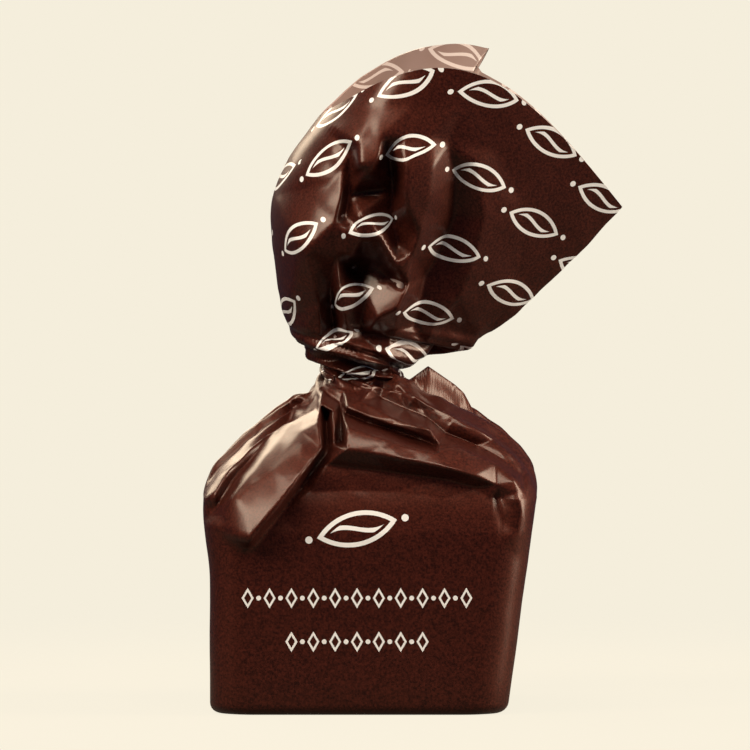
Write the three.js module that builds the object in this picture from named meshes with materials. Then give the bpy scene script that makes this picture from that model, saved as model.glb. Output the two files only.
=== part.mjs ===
// A chocolate truffle in a printed film wrapper: the film is drawn up round a square block, gathered
// and twisted to a neck, and its free end opens above the twist as a lopsided cornet.
// Millimetres. +Z is up, +X is to the right of the front, and the front faces -Y.
// The origin is the centre of the truffle's flat base.
import * as THREE from 'three';

const TAU = Math.PI * 2;

// ---- Driving dimensions -------------------------------------------------------------------------
const BASE_RIGHT = 11.5; // reach of the right wall at the base, measured from the origin
const RIGHT_LEAN = 0.137; // the right wall leans out by this much for each mm of height
const LEFT = 13.05; // reach of the left wall
const DEPTH = 12.9; // reach of the front and back walls
const EDGE_RADIUS = 0.9; // rounding of the block's bottom edge
const CORNER_RADIUS = 2.9; // rounding of the block's upright corners
const SHOULDER = 17.8; // height of the block's top edge, where the film leaves it
const SHOULDER_FLARE = 0.6; // the film stands off the block by this much at the shoulder
const NECK_HEIGHT = 27.1; // where the gathered film is narrowest
const NECK_RADIUS = 3.25;
const NECK_OFFSET = -0.3; // the neck stands a little left of the origin
const LEFT_DOME = 1.6; // how full the dome is on either side: 1 is a straight slope to the neck
const RIGHT_DOME = 2.26;
const TWIST_TURNS = 0.95; // turns of the film about the neck
const CORNET_DEPTH = 8.4; // half the cornet's depth from front to back, at the rim
const CREASE_HALF = 0.9; // half the thickness of the flattened right-hand fold
const RIM_ARCH = 7.5; // rise of the rim above the line from its left end to its right tip
const FILM = 0.55; // wall of the open cornet

// The bend of the front and the back, from a little below the shoulder to the neck: height and reach.
const FACE_BEND = [
  [15.0, 12.9], [17.2, 12.5], [19.2, 11.8], [20.5, 11.1],
  [22.0, 10.0], [23.5, 8.2], [25.0, 5.9], [27.1, 3.25],
];
// Both outlines of the cornet, from the neck up: x and z of its left side and of its right-hand fold.
const LEFT_SIDE = [
  [-3.6, 27.1], [-3.9, 28.7], [-5.8, 30.5], [-7.1, 32.7],
  [-7.8, 36.8], [-8.1, 41.7], [-6.6, 45.5], [-4.0, 49.2],
];
const RIGHT_FOLD = [
  [3.0, 27.1], [2.1, 28.3], [5.2, 29.3], [8.6, 30.3],
  [12.2, 32.5], [15.2, 35.3], [18.2, 38.3], [21.2, 41.5],
];
// The back of the rim is a lapped panel that stands above the front one and ends in a corner: share
// of the way from the rim's left end to its right tip, and rise.
const LAP_RISE = [[0, 0], [0.13, 0.9], [0.265, 1.3], [0.4, 1.6], [0.56, 2.3], [0.6, 0], [1, 0]];
// A fin of film stands up behind the neck on the right, like a tent over a line on the plan.
const FIN_LINE = [[2.4, -2.4], [9.6, 1.0]]; // x and y of the line's ends
const FIN_TOP = [[2.4, 25], [3.3, 27.1], [5, 28.3], [7.3, 26.7], [8, 26], [8.9, 24.3], [9.6, 22]]; // x and z
const FIN_SLOPES = [7.0, 1.3]; // fall for each mm in front of the line and behind it

// ---- Mesh density -------------------------------------------------------------------------------
const COLUMNS = 104;
const FRONT_SHARE = 0.625; // share of the columns that stand on the front half, where the folds are fine
const WALL_ROWS = [0.3, 0.55, 0.72, 0.82, 0.9, 0.96];
const DOME_ROWS = 20;
const CORNET_ROWS = 19;
const INNER_STEPS = [0.98, 0.9, 0.79, 0.67, 0.54, 0.41, 0.3];
const INNER_FLOOR = 0.22; // the hollow closes here, as a share of the way from neck to rim
const FOLD_SPREAD = 0.7; // each fold is this much wider than its line asks, so that the mesh can follow it

// ---- Small helpers ------------------------------------------------------------------------------
const clamp01 = (x) => Math.min(1, Math.max(0, x));
const mix = (a, b, t) => a + (b - a) * t;
const smooth = (a, b, x) => {
  const t = clamp01((x - a) / (b - a));
  return t * t * (3 - 2 * t);
};
const scatter = (i) => {
  const s = Math.sin(i * 12.9898 + 4.1) * 43758.5453;
  return s - Math.floor(s);
};

// A point along a list of [x, z] points, on a Catmull-Rom curve with even steps between them.
function along(points, t) {
  const last = points.length - 1;
  const i = Math.min(last - 1, Math.floor(t * last));
  const f = t * last - i;
  const at = (k) => points[Math.min(last, Math.max(0, k))];
  const [p0, p1, p2, p3] = [at(i - 1), at(i), at(i + 1), at(i + 2)];
  return p1.map((_, axis) => {
    const [a, b, c, d] = [p0[axis], p1[axis], p2[axis], p3[axis]];
    return b + 0.5 * f * (c - a + f * (2 * a - 5 * b + 4 * c - d + f * (3 * (b - c) + d - a)));
  });
}

// The value at x in a table of [x, value] pairs, with straight lines between them.
function valueAt(table, x) {
  const next = table.findIndex(([place]) => place >= x);
  if (next === 0) return table[0][1];
  if (next < 0) return table[table.length - 1][1];
  const [[x0, low], [x1, high]] = [table[next - 1], table[next]];
  return mix(low, high, (x - x0) / (x1 - x0));
}

// A point on a rounded rectangle, at share u of the way round from the middle of its right side.
function roundedRing(u, halfWidth, halfDepth, radius) {
  const r = Math.min(radius, halfWidth, halfDepth);
  const w = halfWidth - r;
  const d = halfDepth - r;
  const arc = (Math.PI / 2) * r;
  const quarter = d + arc + w;
  const turns = (((u % 1) + 1) % 1) * 4;
  const q = Math.floor(turns) % 4;
  const mirrored = q % 2 === 1; // odd quarters run back down the same shape
  let s = (turns - Math.floor(turns)) * quarter;
  if (mirrored) s = quarter - s;
  let x = halfWidth;
  let y = s;
  if (s > d + arc) {
    x = quarter - s;
    y = halfDepth;
  } else if (s > d) {
    const a = (s - d) / r;
    x = w + r * Math.cos(a);
    y = d + r * Math.sin(a);
  }
  return [q === 1 || q === 2 ? -x : x, q >= 2 ? -y : y];
}

// ---- The smooth skin, without its folds ---------------------------------------------------------
// u runs round the pack from the right, by way of the back. s runs up it: 0 to 1 is the block's
// wall, 1 to 2 the gathered dome and 2 to 3 the neck and the cornet above it.
// The front and the back bend in from a little below the shoulder, and the sides from the shoulder.
const BEND_STEPS = 40;
const faceCurve = Array.from({ length: BEND_STEPS + 1 }, (_, i) => along(FACE_BEND, i / BEND_STEPS));

function wallPoint(u, z) {
  const flare = SHOULDER_FLARE * smooth(0.62 * SHOULDER, 0.96 * SHOULDER, z);
  const round = z < EDGE_RADIUS ? EDGE_RADIUS - Math.sqrt(EDGE_RADIUS ** 2 - (EDGE_RADIUS - z) ** 2) : 0;
  const right = BASE_RIGHT + RIGHT_LEAN * z - round;
  const left = LEFT + flare - round;
  const depth = valueAt(faceCurve, z) - round;
  const [x, y] = roundedRing(u, (left + right) / 2, depth, CORNER_RADIUS + 0.5 * flare);
  return [x + (right - left) / 2, y, z];
}

function domePoint(u, t) {
  const z = mix(SHOULDER, NECK_HEIGHT, t);
  const left = mix(LEFT + SHOULDER_FLARE, NECK_RADIUS, t ** LEFT_DOME);
  const right = mix(BASE_RIGHT + RIGHT_LEAN * SHOULDER, NECK_RADIUS, t ** RIGHT_DOME);
  const radius = mix(CORNER_RADIUS + 0.5 * SHOULDER_FLARE, NECK_RADIUS * 2, t ** 0.8);
  const [x, y] = roundedRing(u, (left + right) / 2, valueAt(faceCurve, z), radius);
  return [x + (right - left) / 2 + NECK_OFFSET * t, y, z];
}

function cornetPoint(u, v) {
  const across = 0.5 + 0.5 * Math.cos(TAU * u); // 0 at the left side, 1 at the right-hand fold
  const back = Math.sin(TAU * u) > 0;
  const [leftX, leftZ] = along(LEFT_SIDE, v);
  const [rightX, rightZ] = along(RIGHT_FOLD, v);

  // The section is round at the neck and opens to a drop: full on the left, pinched on the right.
  const nose = 0.42;
  const bellied = across < nose
    ? Math.sqrt(1 - (1 - across / nose) ** 2)
    : 1 - ((across - nose) / (1 - nose)) ** 1.7;
  const pinched = CREASE_HALF * Math.sqrt(Math.max(0, 1 - across ** 10)) * smooth(0, 0.3, across);
  const round = 2 * Math.sqrt(across * (1 - across));
  const open = smooth(0.05, 0.45, v);
  const halfDepth = mix(NECK_RADIUS - 0.3, CORNET_DEPTH, smooth(0.0, 0.85, v));
  const y = mix(halfDepth * round, (halfDepth - CREASE_HALF) * bellied + pinched, open);

  const arch = RIM_ARCH * Math.sin(Math.PI * across) * v ** 1.15;
  return [mix(leftX, rightX, across), back ? y : -y, mix(leftZ, rightZ, across) + arch];
}

function lapRise(u, v) {
  if (Math.sin(TAU * u) <= 0) return 0;
  return valueAt(LAP_RISE, 0.5 + 0.5 * Math.cos(TAU * u)) * smooth(0.65, 1, v);
}

// Height of the fin over a place on the plan, and 0 beyond its ends.
function finHeight(x, y) {
  const [[x0, y0], [x1, y1]] = FIN_LINE;
  if (x < x0 || x > x1) return 0;
  const behind = y - mix(y0, y1, (x - x0) / (x1 - x0));
  return valueAt(FIN_TOP, x) - (behind < 0 ? -FIN_SLOPES[0] * behind : FIN_SLOPES[1] * behind);
}

function skin(u, s) {
  if (s <= 1) return new THREE.Vector3(...wallPoint(u, s * SHOULDER));
  if (s <= 2) return new THREE.Vector3(...domePoint(u, s - 1));
  return new THREE.Vector3(...cornetPoint(u, Math.min(1, s - 2)));
}

function skinNormal(u, s) {
  const stepU = 0.004;
  const stepS = 0.01;
  const part = Math.min(2, Math.floor(s)); // differences stay inside one of the three parts
  const low = Math.max(part + 1e-4, s - stepS);
  const high = Math.min(part + 1 - 1e-4, s + stepS);
  const round = skin(u + stepU, s).sub(skin(u - stepU, s));
  const up = skin(u, high).sub(skin(u, low));
  return round.cross(up).normalize();
}

// ---- Folds --------------------------------------------------------------------------------------
// A fold is a band laid along a line on one view of the pack, which starts at the neck. Its height
// is positive for a ridge and negative for a hollow. half is its half width at the neck and at the
// foot, soft how gently it rises on either side, and fade the share of its length at either end
// over which it dies away. The front view looks down a little, so what lies further back is drawn
// higher on it.
const FRONT_TILT = 0.0523;
const VIEWS = {
  front: { facing: [0, -1, 0], flat: (p) => [p.x, p.z + FRONT_TILT * (p.y + DEPTH)] },
  back: { facing: [0, 1, 0], flat: (p) => [-p.x, p.z] },
  left: { facing: [-1, 0, 0], flat: (p) => [-p.y, p.z] },
  right: { facing: [1, 0, 0], flat: (p) => [p.y, p.z] },
};

function fold(view, height, half, line, soft = [1, 1], fade = [0.1, 0.25]) {
  return { view, height, half, line, soft, fade };
}

const domeFolds = [
  // the broad flap from the neck to the front left corner, whose inner edge stands proud
  fold(
    'front', 2.0, [0.7, 1.5],
    [[-4.3, 26.3], [-5.0, 23.8], [-7.0, 20.2], [-9.9, 16.2]],
    [1.3, 0.5], [0.1, 0.12],
  ),
  // the crevice on its outer side, and the film beyond it
  fold('front', -1.0, [0.3, 0.4], [[-6.1, 25.4], [-8.5, 22.6], [-10.8, 20], [-12.8, 17]], [1, 1], [0.2, 0.15]),
  fold('front', 0.9, [0.5, 0.8], [[-6.9, 25.1], [-9.2, 23.3], [-11.3, 21], [-12.8, 18.7]], [1, 1], [0.2, 0.25]),
  // two deep tucks side by side under the neck
  fold('front', -1.6, [0.2, 0.3], [[-3.5, 25.4], [-3.4, 22.2]], [1, 1], [0.2, 0.15]),
  fold('front', -1.5, [0.1, 0.2], [[-2.2, 25.8], [-2.2, 22.4]], [1, 1], [0.2, 0.15]),
  // the roll of slack film over the front panel, and the slot above it
  fold(
    'front', 2.3, [1.5, 1.2],
    [[-2.0, 22.9], [0, 22.7], [2.2, 22.2], [6.4, 21], [8.9, 20.2], [11.2, 19]],
    [1, 0.7], [0.1, 0.3],
  ),
  fold('front', -0.9, [0.2, 0.2], [[-1.9, 24.9], [0, 24.2], [2.2, 23.5], [5.0, 22.6]], [1, 1], [0.15, 0.2]),
  // the ridge over the slot, and the sharp one from its end to the right corner
  fold('front', 1.4, [0.4, 0.5], [[-1.8, 26.2], [0.5, 25.2], [2.2, 24.4], [5.1, 23.7]], [1, 1], [0.15, 0.1]),
  fold(
    'front', 1.4, [0.5, 0.7],
    [[5.0, 23.9], [5.9, 22.7], [8.1, 22], [10.6, 20.8], [12.2, 19.5], [13.1, 18]],
    [1, 1.2], [0.05, 0.15],
  ),
  // the valley behind it, the upper ridge and the film behind that
  fold('front', -0.9, [0.2, 0.3], [[6.4, 23.4], [8.9, 22.3], [11.3, 21], [12.8, 19.8]]),
  fold(
    'front', 2.2, [0.6, 0.8],
    [[2.5, 27.3], [3.9, 26.5], [5.6, 25.6], [7.2, 24.8], [8.9, 23.9], [10.6, 22.8], [12.6, 21]],
    [1, 1], [0.2, 0.4],
  ),
  fold('front', -0.7, [0.2, 0.3], [[3.3, 27.4], [5.6, 26.6], [8.3, 25.2], [10.6, 23.5]], [1, 1], [0.2, 0.2]),
  // the dimple and the corner pleat over the front right corner
  fold('front', -0.5, [0.3, 0.5], [[10.9, 18.2], [11.3, 16.1], [11.1, 14.2]], [1, 1], [0.3, 0.3]),
  fold('front', 0.8, [0.3, 0.4], [[12.3, 19], [12.7, 16.9], [12.5, 14]]),
];

const cornetFolds = [
  // the left-hand facet, and beside it the deep fold that runs up from the neck
  fold('front', 1.4, [0.9, 0.7], [[-5.4, 36.8], [-3.9, 40], [-2.7, 43.4], [-2, 46.6]], [0.8, 1.1], [0.3, 0.3]),
  fold(
    'front', -1.1, [0.2, 0.4],
    [[-2.7, 31.2], [-3.1, 34], [-2.9, 37.6], [-1.8, 40.8], [-1.4, 43.4], [-1.3, 47.6]],
    [1, 1], [0.1, 0.3],
  ),
  // the run of small facets, and the deep valley beside it
  fold(
    'front', 0.9, [0.4, 0.7],
    [[-1.6, 32.6], [-1.2, 36], [-0.7, 39.7], [-0.4, 43.6], [0.5, 49]],
    [1, 1], [0.2, 0.35],
  ),
  fold('front', -1.3, [0.4, 0.8], [[0.6, 36.6], [1.9, 39.6], [2, 43.6], [1.6, 49]], [1, 1], [0.3, 0.35]),
  // the full ridge, the wide valley and the low ridge beyond
  fold(
    'front', 1.4, [0.5, 1.1],
    [[1.4, 33], [2.7, 36], [3.6, 39], [4, 42], [4, 45.6], [3.5, 50]],
    [1, 1], [0.15, 0.35],
  ),
  fold(
    'front', -1.3, [0.5, 1.1],
    [[3, 33.4], [4.6, 36.2], [6.2, 38.8], [7.2, 41.8], [7.3, 44.8], [6.7, 48.8]],
    [1, 1], [0.15, 0.35],
  ),
  fold('front', 0.8, [0.5, 0.8], [[5.2, 32.4], [7.4, 35.2], [8.9, 38.4], [9.5, 41.6], [8.8, 46.8]]),
  // the rolled band where the cornet turns under, and the undercut below it
  fold('front', 1, [0.4, 0.5], [[-5.8, 31.2], [-3, 30.5], [-0.5, 29.8], [1.8, 29.2]], [1, 1], [0.15, 0.15]),
  fold('front', -0.6, [0.1, 0.1], [[-4.4, 29.5], [-0.2, 28.5], [1.7, 28.0]], [1, 1], [0.15, 0.15]),
];

// The sides and the back gather in pleats of uneven size, spread along each.
const PLEATS = { back: 8, left: 6, right: 4 };
for (const [view, count] of Object.entries(PLEATS)) {
  for (let i = 0; i < count; i++) {
    const seed = count * 10 + i;
    const foot = mix(-10.5, 10.5, (i + 0.5) / count) + 1.4 * (scatter(seed) - 0.5);
    const low = SHOULDER - 1.5 + 3 * scatter(seed + 0.3);
    const height = (i % 2 ? -0.8 : 1.0) * mix(0.6, 1.1, scatter(seed + 0.6));
    const line = [[0.24 * foot, 26.3], [0.58 * foot, 23.6], [foot, low]];
    domeFolds.push(fold(view, height, [0.5, 1.15], line, [1, 1], [0.12, 0.3]));
  }
}
const BACK_FLUTES = 7;
for (let i = 0; i < BACK_FLUTES; i++) {
  const spread = (i + 0.5) / BACK_FLUTES;
  const lean = mix(-11, 5, spread) + 1.5 * (scatter(i + 31) - 0.5);
  const tall = mix(38, 45, scatter(i + 57));
  const line = [[mix(-1.6, 2.2, spread), 30.0], [0.7 * lean, mix(30.0, tall, 0.55)], [lean, tall]];
  cornetFolds.push(fold('back', i % 2 ? -0.7 : 0.8, [0.6, 1.2], line, [1, 1], [0.1, 0.4]));
}

function bandHeight({ view, height, half, line, soft, fade }, point, normal) {
  const { facing, flat } = VIEWS[view];
  const faces = normal.x * facing[0] + normal.y * facing[1] + normal.z * facing[2];
  const shown = smooth(-0.05, 0.22, faces);
  if (shown === 0) return 0;
  const [px, pz] = flat(point);
  const lengths = line.slice(1).map((b, i) => Math.hypot(b[0] - line[i][0], b[1] - line[i][1]));
  const total = lengths.reduce((sum, l) => sum + l, 0);
  let nearest = { distance: Infinity };
  let walked = 0;
  lengths.forEach((length, i) => {
    const [a, b] = [line[i], line[i + 1]];
    const dir = [(b[0] - a[0]) / length, (b[1] - a[1]) / length];
    const run = Math.min(length, Math.max(0, (px - a[0]) * dir[0] + (pz - a[1]) * dir[1]));
    const off = [px - a[0] - run * dir[0], pz - a[1] - run * dir[1]];
    const distance = Math.hypot(...off);
    if (distance < nearest.distance) {
      const side = Math.sign(dir[0] * off[1] - dir[1] * off[0]) || 1;
      nearest = { distance, side, share: (walked + run) / total };
    }
    walked += length;
  });
  const d = (nearest.side * nearest.distance) / (mix(half[0], half[1], nearest.share) + FOLD_SPREAD);
  if (Math.abs(d) >= 1) return 0;
  const slope = Math.min(1, (1 + d) / soft[0], (1 - d) / soft[1]);
  const crest = smooth(0, 1, slope);
  const ends = smooth(0, fade[0], nearest.share) * (1 - smooth(1 - fade[1], 1, nearest.share));
  return height * crest * ends * shown;
}

// The twist shows as rope-like ridges that wind round the neck and die out above and below it.
function twistHeight(u, z) {
  const near = smooth(25.4, 27.2, z) * (1 - smooth(29.4, 32.4, z));
  const turned = u + TWIST_TURNS * smooth(24.2, 33.0, z);
  const ridges = Math.abs(Math.sin(TAU * 2.5 * turned)) + 0.5 * Math.abs(Math.sin(TAU * 1.5 * turned + 0.8));
  return near * 0.85 * (ridges - 0.8);
}

// The front folds push the film level, so that they stay at the height they are drawn at on its view,
// and the others push it square to the skin. Both sums are in millimetres.
function foldHeights(u, s, point, normal) {
  const heights = { level: 0, square: twistHeight(u, point.z) };
  for (const f of s < 2 ? domeFolds : cornetFolds) {
    heights[f.view === 'front' ? 'level' : 'square'] += bandHeight(f, point, normal);
  }
  return heights;
}

// ---- The solid ----------------------------------------------------------------------------------
function folded(u, s, inset = 0) {
  const point = skin(u, s);
  const normal = skinNormal(u, s);
  const { level, square } = foldHeights(u, s, point, normal);
  point.addScaledVector(normal, square - inset);
  point.addScaledVector(normal.setZ(0).normalize(), level);
  point.z += lapRise(u, s - 2);
  if (s > 1 && point.z < NECK_HEIGHT) point.z = Math.max(point.z, finHeight(point.x, point.y));
  return point;
}

// The columns go round by way of the back, which has fewer of them than the front.
function columnPlace(i) {
  const backColumns = Math.round(COLUMNS * (1 - FRONT_SHARE));
  if (i < backColumns) return (0.5 * i) / backColumns;
  return 0.5 + (0.5 * (i - backColumns)) / (COLUMNS - backColumns);
}

// Levels of the rows of points, from the base, up the outside, over the rim and down the inside.
function rowLevels() {
  const edgeTop = EDGE_RADIUS / SHOULDER;
  const levels = [0, 0.25 * edgeTop, edgeTop, ...WALL_ROWS].map((s) => ({ s, inset: 0 }));
  for (let i = 0; i <= DOME_ROWS; i++) levels.push({ s: 1 + (i / DOME_ROWS) * 0.999, inset: 0 });
  for (let i = 1; i <= CORNET_ROWS; i++) levels.push({ s: 2 + (i / CORNET_ROWS) ** 1.25, inset: 0 });
  for (const v of [1, ...INNER_STEPS]) levels.push({ s: 2 + v, inset: FILM });
  return levels;
}

// One surface through all rows, with a point at either end. Each four-sided face is split along
// the diagonal that lies nearer the folded film at its middle, so folds keep their edges.
function wrapperGeometry() {
  const levels = rowLevels();
  const top = levels.length - 1;
  const rows = levels.map(({ s, inset }) =>
    Array.from({ length: COLUMNS }, (_, i) => folded(columnPlace(i), s, inset)));
  const floor = new THREE.Vector3();
  for (const point of rows[top]) floor.addScaledVector(point, 1 / COLUMNS);
  floor.z -= (INNER_STEPS[INNER_STEPS.length - 1] - INNER_FLOOR) * 10;
  const points = [new THREE.Vector3(0, 0, 0), ...rows.flat(), floor];
  const at = (row, column) => 1 + row * COLUMNS + (column % COLUMNS);
  const middleOf = (a, b) => points[a].clone().lerp(points[b], 0.5);
  const index = [];
  for (let c = 0; c < COLUMNS; c++) {
    index.push(0, at(0, c + 1), at(0, c));
    const u = mix(columnPlace(c), columnPlace(c + 1), 0.5);
    for (let r = 0; r < top; r++) {
      const [low, high] = [levels[r], levels[r + 1]];
      const [a, b, d, e] = [at(r, c), at(r, c + 1), at(r + 1, c + 1), at(r + 1, c)];
      const middle = folded(u, mix(low.s, high.s, 0.5), mix(low.inset, high.inset, 0.5));
      const steep = middleOf(a, d).distanceTo(middle) <= middleOf(b, e).distanceTo(middle);
      index.push(...(steep ? [a, b, d, a, d, e] : [a, b, e, b, d, e]));
    }
    index.push(points.length - 1, at(top, c), at(top, c + 1));
  }
  const geometry = new THREE.BufferGeometry().setFromPoints(points);
  geometry.setIndex(index);
  geometry.computeVertexNormals();
  return geometry;
}

function wrappedTruffle() {
  const printedFilm = new THREE.MeshStandardMaterial({ color: 0x4a1d14, roughness: 0.42, metalness: 0.0 });
  const mesh = new THREE.Mesh(wrapperGeometry(), printedFilm);
  mesh.name = 'wrapped_truffle';
  return mesh;
}

const truffle = new THREE.Group();
truffle.add(wrappedTruffle());

export default truffle;
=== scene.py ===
# %% [markdown]
# # A wrapped chocolate truffle
#
# The real thing is a square block of chocolate standing in the middle of one sheet of printed film. The
# sheet is drawn up round the block, gathered over its top, twisted to a neck, and its free end is left
# to open above the twist as a lopsided cornet.
#
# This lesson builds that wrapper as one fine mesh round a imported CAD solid, and then prints and lights it.
# Shapes are worked out in millimetres with numpy, and turned to metres only when a mesh is made.

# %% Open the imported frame
import math

import bpy
import numpy as np
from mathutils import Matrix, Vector
from mathutils.geometry import delaunay_2d_cdt


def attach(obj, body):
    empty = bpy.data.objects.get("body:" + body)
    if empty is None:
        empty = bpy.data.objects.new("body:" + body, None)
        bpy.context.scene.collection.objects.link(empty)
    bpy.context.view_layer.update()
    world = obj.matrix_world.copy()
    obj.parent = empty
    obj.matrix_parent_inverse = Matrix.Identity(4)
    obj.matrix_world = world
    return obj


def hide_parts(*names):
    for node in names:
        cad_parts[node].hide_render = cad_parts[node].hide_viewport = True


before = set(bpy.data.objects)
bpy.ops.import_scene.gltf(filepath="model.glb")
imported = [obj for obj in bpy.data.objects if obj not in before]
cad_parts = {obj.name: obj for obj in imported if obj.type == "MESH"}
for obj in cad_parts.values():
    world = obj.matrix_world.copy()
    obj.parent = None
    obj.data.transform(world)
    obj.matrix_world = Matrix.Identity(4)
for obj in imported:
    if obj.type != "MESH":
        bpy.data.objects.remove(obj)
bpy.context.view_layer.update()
MM = 0.001

# %% [markdown]
# ## The camera
#
# The truffle is looked at from the front, from a little above the table. A long lens keeps the block's
# upright edges parallel, as they are on a small thing seen from far away.

# %% Place the camera
EYE_DISTANCE = 1.0
EYE_ELEVATION = math.radians(2.6)
VIEW_WIDTH = 0.0625  # how much of the object's plane the picture shows, in metres
AIM = (0.00058, 0.0, 0.0275)
SENSOR = 36.0

camera_data = bpy.data.cameras.new("camera")
camera_data.sensor_width = SENSOR
camera_data.lens = SENSOR * EYE_DISTANCE / VIEW_WIDTH
camera_data.clip_start = 0.01
camera_data.clip_end = 20
camera = bpy.data.objects.new("camera", camera_data)
camera.location = (
    AIM[0],
    AIM[1] - EYE_DISTANCE * math.cos(EYE_ELEVATION),
    AIM[2] + EYE_DISTANCE * math.sin(EYE_ELEVATION),
)
camera.rotation_euler = (math.pi / 2 - EYE_ELEVATION, 0, 0)
bpy.context.collection.objects.link(camera)
bpy.context.scene.camera = camera
print("lens, mm:", round(camera_data.lens, 1))

# %% [markdown]
# ## Driving dimensions
#
# All in millimetres. The block leans out to the right as it rises, the film leaves it at the shoulder, and
# the neck stands a little left of the middle. The dome draws in sooner here than the solid's does.

# %% Write down the sizes
BASE_RIGHT = 11.5
RIGHT_LEAN = 0.137
LEFT = 13.05
DEPTH = 12.9
EDGE_RADIUS = 0.9
CORNER_RADIUS = 2.9
SHOULDER = 17.8
SHOULDER_FLARE = 0.6
NECK_HEIGHT = 27.1
NECK_RADIUS = 3.25
NECK_OFFSET = -0.3
LEFT_DOME = 1.35  # how late the dome's two sides draw in: 1 is a straight slope, and more is fuller
RIGHT_DOME = 1.95
FACE_PROFILE = [  # reach of the front and the back, and the height that it belongs to
    [DEPTH, 15.0], [12.5, 17.2], [11.8, 19.2], [11.1, 20.5],
    [10.0, 22.0], [8.2, 23.5], [5.9, 25.0], [NECK_RADIUS, NECK_HEIGHT],
]
TWIST_TURNS = 0.95
CORNET_DEPTH = 8.4  # half the depth of the cornet at its rim
CREASE_HALF = 0.5  # half the gap that stays between the two layers where the right-hand fold is pinched
RIM_ARCH = 7.5
FILM = 0.12  # the real film is thinner still, but its cut edge has to show
LEFT_SIDE = [
    [-3.6, NECK_HEIGHT], [-3.9, 28.7], [-5.8, 30.5], [-7.1, 32.7],
    [-7.8, 36.8], [-8.1, 41.7], [-6.6, 45.5], [-4.0, 49.2],
]
RIGHT_FOLD = [
    [3.0, NECK_HEIGHT], [2.1, 28.3], [5.2, 29.3], [8.6, 30.3],
    [12.2, 32.5], [15.2, 35.3], [18.2, 38.3], [21.2, 41.5],
]
TAU = 2 * math.pi

# %% Small helpers for numpy arrays


def mix(a, b, t):
    return a + (b - a) * t


def smooth(low, high, x):
    t = np.clip((x - low) / (high - low), 0, 1)
    return t * t * (3 - 2 * t)


def scatter(i):
    s = math.sin(i * 12.9898 + 4.1) * 43758.5453
    return s - math.floor(s)


def along(points, t):
    """Points on a Catmull-Rom curve through a list of [x, z] points, at shares t of the way."""
    points = np.array(points, float)
    last = len(points) - 1
    i = np.minimum(last - 1, np.floor(t * last).astype(int))
    f = (t * last - i)[..., None]
    a, b, c, d = (points[np.clip(i + k, 0, last)] for k in (-1, 0, 1, 2))
    return b + 0.5 * f * (c - a + f * (2 * a - 5 * b + 4 * c - d + f * (3 * (b - c) + d - a)))


def rounded_ring(u, half_width, half_depth, radius):
    """x and y on a rounded rectangle, at share u of the way round from the middle of its right side."""
    radius = np.minimum(radius, np.minimum(half_width, half_depth))
    w, d = half_width - radius, half_depth - radius
    arc = math.pi / 2 * radius
    quarter = d + arc + w
    turns = (u % 1) * 4
    q = np.floor(turns).astype(int) % 4
    s = (turns - np.floor(turns)) * quarter
    s = np.where(q % 2 == 1, quarter - s, s)
    angle = np.clip((s - d) / radius, 0, math.pi / 2)
    x = np.where(s > d + arc, quarter - s, w + radius * np.cos(angle))
    y = np.where(s > d, d + radius * np.sin(angle), s)
    return np.where((q == 1) | (q == 2), -x, x), np.where(q >= 2, -y, y)


# %% [markdown]
# ## The smooth skin
#
# The film is one surface with two coordinates: u runs round it from the right by way of the back, and s
# runs up it. From 0 to 1 it lies on the block's wall, from 1 to 2 it is the gathered dome, and from 2 to 3
# the neck and the cornet. Working on this grid keeps the mesh in long clean strips that follow the gathers.

# %% The three stretches of the skin


def face_depth(z):
    """Reach of the front and the back, which bend in from a little below the shoulder."""
    share = np.linspace(0, 1, 200)
    reach, height = along(FACE_PROFILE, share).T
    return np.interp(z, height, reach)


def wall(u, z):
    flare = SHOULDER_FLARE * smooth(0.62 * SHOULDER, 0.96 * SHOULDER, z)
    below_edge = np.maximum(0, EDGE_RADIUS - z)
    rounding = EDGE_RADIUS - np.sqrt(np.maximum(0, EDGE_RADIUS**2 - below_edge**2))
    right = BASE_RIGHT + RIGHT_LEAN * z - rounding
    left = LEFT + flare - rounding
    depth = face_depth(z) - rounding
    x, y = rounded_ring(u, (left + right) / 2, depth, CORNER_RADIUS + 0.5 * flare)
    return np.stack([x + (right - left) / 2, y, z + 0 * x], -1)


def dome(u, t):
    z = mix(SHOULDER, NECK_HEIGHT, t)
    left = mix(LEFT + SHOULDER_FLARE, NECK_RADIUS, t**LEFT_DOME)
    right = mix(BASE_RIGHT + RIGHT_LEAN * SHOULDER, NECK_RADIUS, t**RIGHT_DOME)
    depth = face_depth(z)
    radius = mix(CORNER_RADIUS + 0.5 * SHOULDER_FLARE, NECK_RADIUS * 2, t**0.8)
    x, y = rounded_ring(u, (left + right) / 2, depth, radius)
    return np.stack([x + (right - left) / 2 + NECK_OFFSET * t, y, z + 0 * x], -1)


def cornet(u, v):
    across = 0.5 + 0.5 * np.cos(TAU * u)
    back = np.sin(TAU * u) > 0
    left, right = along(LEFT_SIDE, v), along(RIGHT_FOLD, v)
    nose = 0.42  # share of the width over which the left end is rounded
    bellied = np.where(
        across < nose,
        np.sqrt(np.maximum(0, 1 - (1 - across / nose) ** 2)),
        1 - np.maximum(0, (across - nose) / (1 - nose)) ** 1.7,
    )
    pinched = CREASE_HALF * np.sqrt(np.maximum(0, 1 - across**10)) * smooth(0, 0.3, across)
    tube = 2 * np.sqrt(np.maximum(0, across * (1 - across)))
    half_depth = mix(NECK_RADIUS - 0.3, CORNET_DEPTH, smooth(0.0, 0.85, v))
    y = mix(half_depth * tube, (half_depth - CREASE_HALF) * bellied + pinched, smooth(0.05, 0.45, v))
    arch = RIM_ARCH * np.sin(math.pi * across) * v**1.15
    x = mix(left[..., 0], right[..., 0], across)
    z = mix(left[..., 1], right[..., 1], across) + arch
    return np.stack([x, np.where(back, y, -y), z], -1)


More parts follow.
